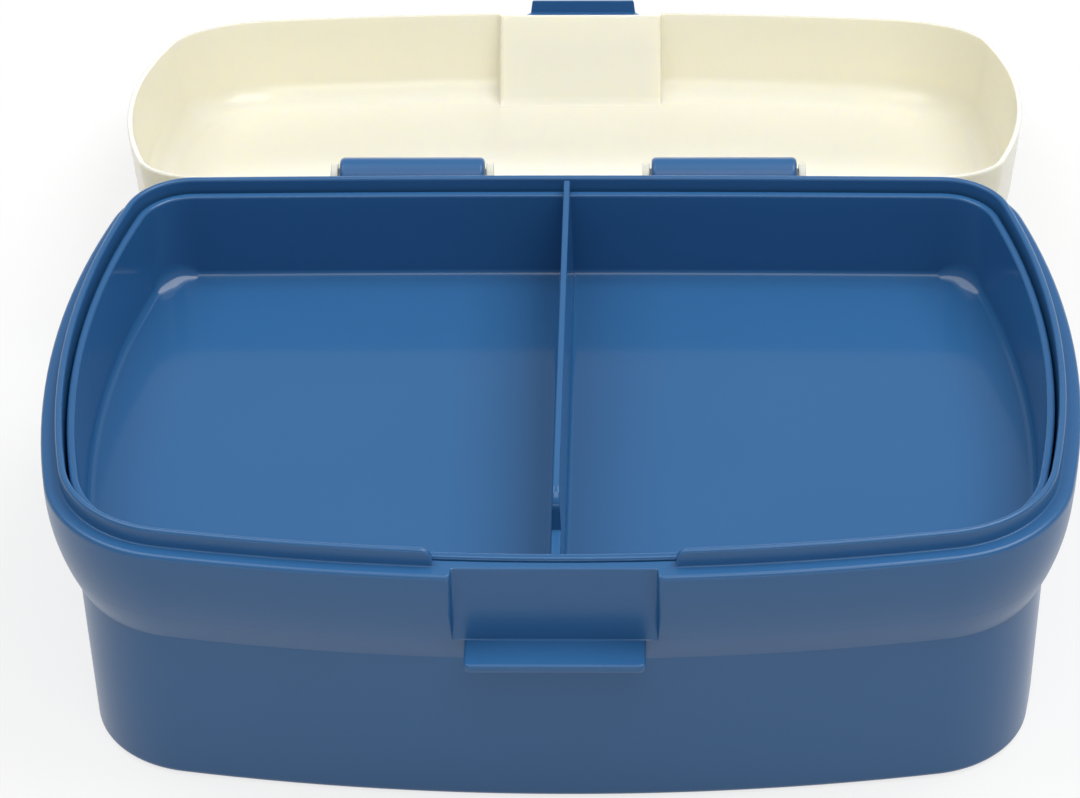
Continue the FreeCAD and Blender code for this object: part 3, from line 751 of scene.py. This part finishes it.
def divider_wall(bm, plan, tray):
    """Divider from front to back: a tapered section with a filleted foot, stepped at the front."""
    floor, top = tray.bottom_z + tray.floor, tray.top_z + tray.divider_rise
    low, step = top - tray.divider_drop, -tray.divider_step
    end = plan.depth / 2 - tray.inset - SINK * tray.wall
    toe, r = tray.divider_toe, tray.divider_round
    foot, crown = tray.divider_fillet, tray.divider_crown
    stations = [(tray.draft - end, low - tray.divider_dip)]
    stations += [(step - before, low) for before in BEFORE_STEP] + [(step - toe, low + toe)]
    stations += [(step + r * (1 - math.cos(a)), top - r + r * math.sin(a)) for a in quarter(8)]
    stations += [(y * MM, top) for y in BEHIND_STEP] + [(end, top)]

    slope = tray.draft / (tray.top_z - tray.bottom_z)

    def half_at(z):
        taper = (z - floor) / (top - floor)
        return (tray.divider_foot + (tray.divider_top - tray.divider_foot) * taper) / 2

    def in_wall(y, z):
        """Keeps the back end inside the wall, which leans in towards its foot."""
        return min(y, end - slope * max(tray.top_z - z, 0.0))

    def ring(y, high):
        root, neck = half_at(floor), floor + foot
        side = [(root + foot, floor - SINK * tray.floor)]
        side += [(root + foot * (1 - math.sin(a)), floor + foot * (1 - math.cos(a)))
                 for a in quarter(4)]
        side += [(half_at(z), z) for z in (neck + (high - neck) * k for k in DIVIDER_ROWS)]
        side += [(half_at(high) - crown * (1 - math.cos(a)), high - crown + crown * math.sin(a))
                 for a in quarter(3)]
        around = side + [(-x, z) for x, z in reversed(side)]
        return [Vector((x, in_wall(y, z), z)) for x, z in around]

    skin(bm, [ring(y, high) for y, high in stations])


def lid_rows(lid):
    """The closed lid's wall section, outside and inside, plain and at the notch."""
    panel = lid.top_z - lid.wall
    outer_top = lid.inset + lid.draft
    inner_top = outer_top + lid.wall
    strip = outer_top + lid.round + FLAT_STRIP
    face = lid.notch_rim - lid.notch_wall
    lean = (lid.notch_top + lid.notch_wall - lid.notch_rim) / (lid.top_z - lid.rim_z)
    inner_face = lid.notch_rim + lean * (panel - lid.rim_z)
    middle = (lid.inset + lid.rim_wall / 2, lid.rim_z)
    notch_middle = (lid.notch_rim - lid.notch_wall / 2, lid.rim_z)
    outside = rounded_path([(strip, lid.top_z), (outer_top, lid.top_z, lid.round, 9),
                            (lid.inset, lid.rim_z, lid.rim_round, 4), middle])
    notch_out = rounded_path([(strip, lid.top_z), (lid.notch_top, lid.top_z, lid.notch_edge, 9),
                              (face, lid.rim_z, lid.rim_round, 4), notch_middle])
    inside = rounded_path([middle, (lid.inset + lid.rim_wall, lid.rim_z, lid.rim_round, 4),
                           (inner_top, panel, lid.round - lid.wall, 9),
                           (inner_top + lid.round, panel)])[1:]
    notch_in = rounded_path([notch_middle, (lid.notch_rim, lid.rim_z, lid.rim_round, 4),
                             (inner_face, panel, lid.notch_fillet, 9),
                             (inner_face + lid.round, panel)])[1:]
    return outside, notch_out, inside, notch_in


def lid_skin(bm, plan, lid):
    """The lid's swept wall with the clip's notch drawn into its front."""
    outside, notch_out, inside, notch_in = lid_rows(lid)
    half = lid.notch_width / 2
    inner_half = half + lid.notch_wall
    front_y = -plan.depth / 2

    def rows(column):
        points = []
        for plain, notch, edge in ((outside, notch_out, half), (inside, notch_in, inner_half)):
            front = column.front_x is not None
            weight = step_weight(column.front_x, edge) if front else 0.0
            for p, q in zip(plain, notch):
                point = column.point(p)
                points.append(point.lerp(Vector((point.x, front_y + q.x, q.y)), weight))
        return points

    places = [x * MM for x in LID_FRONT] + step_columns(half) + step_columns(inner_half)
    sweep(bm, outline(plan, places), rows)


def ear_section(plan, lid):
    """Outline of a hinge ear in the (y, z) plane, with the lid closed."""
    radius = lid.bar_radius + lid.ear_wall
    wall_y = plan.depth / 2 - lid.inset - lid.rim_wall / 2
    low = lid.rim_z + lid.ear_lift
    meet = math.pi - math.asin((low - HINGE.z) / radius)
    ring = arc_points((HINGE.y, HINGE.z), radius, meet, 2 * math.pi + lid.ear_turn, 24)
    lean = lid.draft * lid.ear_height / (lid.top_z - lid.rim_z)
    top = Vector((wall_y - lean, lid.rim_z + lid.ear_height))
    return [Vector((wall_y, low))] + ring + [top]


def lid_bars(bm, plan, base, lid, clip):
    """Hinge bars between their ears, and the clip's bar across the notch, with the lid closed."""
    ear, bar = ear_section(plan, lid), bar_section((HINGE.y, HINGE.z), lid.bar_radius, 24)
    half_hook = base.hook_length / 2 + lid.ear_gap
    for middle in (-base.hook_x, base.hook_x):
        left, right = middle - half_hook, middle + half_hook
        for x0 in (left - lid.ear_thickness, right):
            prism(bm, partial(drawn_in, ear), x0, x0 + lid.ear_thickness, lid.ear_round)
        into_ear = lid.ear_thickness / 2
        prism(bm, partial(drawn_in, bar), left - into_ear, right + into_ear, lid.bar_round)
    pivot, half = clip_pivot(plan, clip), (lid.notch_width + lid.notch_wall) / 2
    clip_bar = bar_section((pivot.y, pivot.z), lid.clip_bar, 20)
    prism(bm, partial(drawn_in, clip_bar), -half, half, lid.bar_round)


def rest_turn():
    """Turns a closed-lid shape to the open rest pose."""
    opened = Matrix.Rotation(-LID_OPEN, 4, "X")
    return Matrix.Translation(HINGE) @ opened @ Matrix.Translation(-HINGE)


def clip_pivot(plan, clip):
    """Middle of the clip's bar with the lid closed."""
    return Vector((0.0, clip.pivot_inset - plan.depth / 2, clip.pivot_z))


def clip_lean(plan, base, clip):
    """Angle at which the latched plate leans out past the ledge's nose."""
    pivot = clip_pivot(plan, clip)
    out, down = pivot.y + plan.depth / 2 + base.ledge_reach, pivot.z - base.ledge_z
    clear = (clip.thickness / 2 + clip.face_gap) / math.hypot(out, down)
    return math.atan2(out, down) + math.asin(clear)


def clip_section(clip, lean, reach, worn):
    """Outline of the clip's ring and plate about its pivot, the plate hanging straight down."""
    half, outer = clip.thickness / 2 - worn, clip.bore + clip.ring_wall - worn
    mouth, centre = clip.mouth_turn + lean, (0, 0)
    outer_half, bore_half = math.asin(clip.mouth / 2 / outer), math.asin(clip.mouth / 2 / clip.bore)
    right = -math.acos(half / outer)
    bore_end = mouth + bore_half - 2 * math.pi
    section = arc_points(centre, outer, right, mouth - outer_half, 16)
    section += arc_points(centre, clip.bore, mouth - bore_half, bore_end, 18)
    section += arc_points(centre, outer, mouth + outer_half, math.pi - right, 10)
    section.append(Vector((-half, clip.taper - reach)))
    section += arc_points((0, half + worn - reach), half, math.pi, 2 * math.pi, 8)
    section.append(Vector((half, clip.taper - reach)))
    return section


def clip_shape(bm, plan, base, clip):
    """The latched clip: ring and plate with a tapered end, and the catch under the ledge."""
    pivot, lean = clip_pivot(plan, clip), clip_lean(plan, base, clip)
    catch_z = base.ledge_z - base.ledge_nose - clip.catch_gap
    reach = (pivot.z - catch_z + clip.tab) / math.cos(lean)
    shoulder, taper, half = clip.taper - reach, 1 - clip.end_width / clip.width, clip.width / 2

    def narrow(z):
        return 1.0 if z >= shoulder else 1.0 - taper * (shoulder - z) / clip.taper

    prism(bm, partial(clip_section, clip, lean, reach), -half, half, clip.edge_round, narrow)
    hang = Matrix.Translation(pivot) @ Matrix.Rotation(-lean, 4, "X")
    bmesh.ops.transform(bm, matrix=hang, verts=bm.verts[:])
    tip = -plan.depth / 2 - base.ledge_reach + clip.catch_reach
    plate_y = pivot.y - (pivot.z - catch_z) * math.tan(lean)
    foot_y, foot_z = plate_y - clip.catch_height * math.tan(lean), catch_z - clip.catch_height
    catch = [Vector((plate_y, catch_z)), Vector((tip, catch_z - clip.catch_slant)),
             Vector((tip, catch_z - clip.catch_tip)),
             Vector((foot_y + clip.thickness / 2, foot_z)), Vector((foot_y, foot_z))]
    prism(bm, partial(drawn_in, catch), -half, half, clip.catch_round,
          lambda z: narrow((z - pivot.z) / math.cos(lean)))


def add_floor(scene):
    """Pale floor just under the box."""
    mesh, h = bpy.data.meshes.new("studio_floor"), FLOOR_HALF
    mesh.from_pydata([(-h, -h, 0), (h, -h, 0), (h, h, 0), (-h, h, 0)], [], [(0, 1, 2, 3)])
    mesh.materials.append(studio_floor(scene.lunch_box.colours))
    floor = bpy.data.objects.new("studio_floor", mesh)
    floor.location.z = -FLOOR_DROP
    scene.collection.objects.link(floor)


def add_lamp(scene, name, place, width, height, power):
    """Soft lamp that faces the box."""
    light = bpy.data.lights.new(name, "AREA")
    light.shape = "RECTANGLE"
    light.size, light.size_y, light.energy = width, height, power
    lamp = bpy.data.objects.new(name, light)
    lamp.location = place
    lamp.rotation_euler = (LAMP_AIM - Vector(place)).to_track_quat("-Z", "Y").to_euler()
    scene.collection.objects.link(lamp)


def add_sky(scene):
    """White studio walls, brightest overhead and behind, dim in front."""
    world = bpy.data.worlds.new("studio")
    scene.world = world
    world.use_nodes = True
    tree = world.node_tree
    tree.nodes.clear()
    way = add_node(tree, "ShaderNodeTexCoord", {}).outputs["Generated"]
    lift = add_node(tree, "ShaderNodeVectorMath", {0: way, 1: (0.0, 0.4, 0.92)},
                    operation="DOT_PRODUCT")
    level = add_node(tree, "ShaderNodeMapRange", {
        "Value": lift.outputs["Value"], "From Min": -0.6, "From Max": 1.0,
        "To Min": 0.05, "To Max": 0.4})
    sky = add_node(tree, "ShaderNodeBackground", {
        "Color": scene.lunch_box.colours.white, "Strength": level.outputs[0]})
    output = add_node(tree, "ShaderNodeOutputWorld", {})
    tree.links.new(sky.outputs[0], output.inputs["Surface"])


def add_camera(scene):
    """Camera at the photograph's place and angle."""
    flat = math.cos(CAMERA_PITCH)
    ahead = Vector((math.sin(CAMERA_YAW) * flat, math.cos(CAMERA_YAW) * flat,
                    -math.sin(CAMERA_PITCH)))
    level = Vector((math.cos(CAMERA_YAW), -math.sin(CAMERA_YAW), 0))
    upward = level.cross(ahead)
    right = level * math.cos(CAMERA_ROLL) + upward * math.sin(CAMERA_ROLL)
    up = upward * math.cos(CAMERA_ROLL) - level * math.sin(CAMERA_ROLL)
    data = bpy.data.cameras.new("photo_view")
    data.sensor_fit, data.sensor_width = "HORIZONTAL", CAMERA_SENSOR
    data.lens, data.shift_y = CAMERA_LENS, CAMERA_SHIFT
    camera = bpy.data.objects.new("photo_view", data)
    facing = Matrix((right, up, -ahead)).transposed().to_4x4()
    camera.matrix_world = Matrix.Translation(CAMERA_PLACE) @ facing
    scene.collection.objects.link(camera)
    scene.camera = camera


class LUNCHBOX_OT_base(bpy.types.Operator):
    """Builds the base with its collar, lip, recess, ledge and hinge hooks"""
    bl_idname = "lunch_box.base"
    bl_label = "Base"

    def execute(self, context):
        box = context.scene.lunch_box
        base, plan = box.base, box.plan
        bm = bmesh.new()
        ledge_block(bm, plan, base)
        for middle in (-base.hook_x, base.hook_x):
            x0 = middle - base.hook_length / 2
            prism(bm, partial(hook_section, plan, base), x0, x0 + base.hook_length, base.hook_round)
        base_skin(bm, plan, base)
        finish_piece(bm, "base_moulding", satin_blue(box.colours), "base")
        return {"FINISHED"}


class LUNCHBOX_OT_tray(bpy.types.Operator):
    """Builds the lift-out tray with its divider"""
    bl_idname = "lunch_box.tray"
    bl_label = "Tray"

    def execute(self, context):
        box = context.scene.lunch_box
        bm = bmesh.new()
        tray_skin(bm, box.plan, box.tray)
        divider_wall(bm, box.plan, box.tray)
        finish_piece(bm, "tray_moulding", gloss_blue(box.colours), "tray")
        return {"FINISHED"}


class LUNCHBOX_OT_lid(bpy.types.Operator):
    """Builds the lid with its notch, hinge ears and bars, turned open"""
    bl_idname = "lunch_box.lid"
    bl_label = "Lid"

    def execute(self, context):
        box = context.scene.lunch_box
        bm = bmesh.new()
        lid_bars(bm, box.plan, box.base, box.lid, box.clip)
        lid_skin(bm, box.plan, box.lid)
        bmesh.ops.transform(bm, matrix=rest_turn(), verts=bm.verts[:])
        finish_piece(bm, "lid_moulding", cream_plastic(box.colours), "lid")
        return {"FINISHED"}


class LUNCHBOX_OT_clip(bpy.types.Operator):
    """Builds the clip with its ring, plate and catch, swung out from the open lid"""
    bl_idname = "lunch_box.clip"
    bl_label = "Clip"

    def execute(self, context):
        box = context.scene.lunch_box
        bm = bmesh.new()
        clip_shape(bm, box.plan, box.base, box.clip)
        pivot, swung = clip_pivot(box.plan, box.clip), Matrix.Rotation(-CLIP_OPEN, 4, "X")
        swing = Matrix.Translation(pivot) @ swung @ Matrix.Translation(-pivot)
        bmesh.ops.transform(bm, matrix=rest_turn() @ swing, verts=bm.verts[:])
        finish_piece(bm, "clip_moulding", satin_blue(box.colours), "clip")
        return {"FINISHED"}


class LUNCHBOX_OT_stage(bpy.types.Operator):
    """Sets the pale floor, the soft studio light and the camera"""
    bl_idname = "lunch_box.stage"
    bl_label = "Stage"

    def execute(self, context):
        scene = context.scene
        add_floor(scene)
        for lamp in LAMPS:
            add_lamp(scene, *lamp)
        add_sky(scene)
        add_camera(scene)
        scene.view_settings.view_transform = "Standard"
        return {"FINISHED"}


class LUNCHBOX_PT_panel(bpy.types.Panel):
    """Lists the lunch box's pieces"""
    bl_idname = "LUNCHBOX_PT_panel"
    bl_label = "Lunch Box"
    bl_space_type = "VIEW_3D"
    bl_region_type = "UI"
    bl_category = "Lunch Box"

    def draw(self, context):
        for operator in PIECES:
            self.layout.operator(operator.bl_idname)


PIECES = (LUNCHBOX_OT_base, LUNCHBOX_OT_tray, LUNCHBOX_OT_lid, LUNCHBOX_OT_clip, LUNCHBOX_OT_stage)
CLASSES = (PlanSizes, BaseSizes, TraySizes, LidSizes, ClipSizes, Colours, LunchBox, *PIECES,
           LUNCHBOX_PT_panel)


def register():
    for cls in CLASSES:
        bpy.utils.register_class(cls)
    bpy.types.Scene.lunch_box = PointerProperty(type=LunchBox)


def unregister():
    del bpy.types.Scene.lunch_box
    for cls in reversed(CLASSES):
        bpy.utils.unregister_class(cls)


def main():
    register()
    bpy.ops.lunch_box.base()
    bpy.ops.lunch_box.tray()
    bpy.ops.lunch_box.lid()
    bpy.ops.lunch_box.clip()
    bpy.ops.lunch_box.stage()


if __name__ == "__main__":
    main()
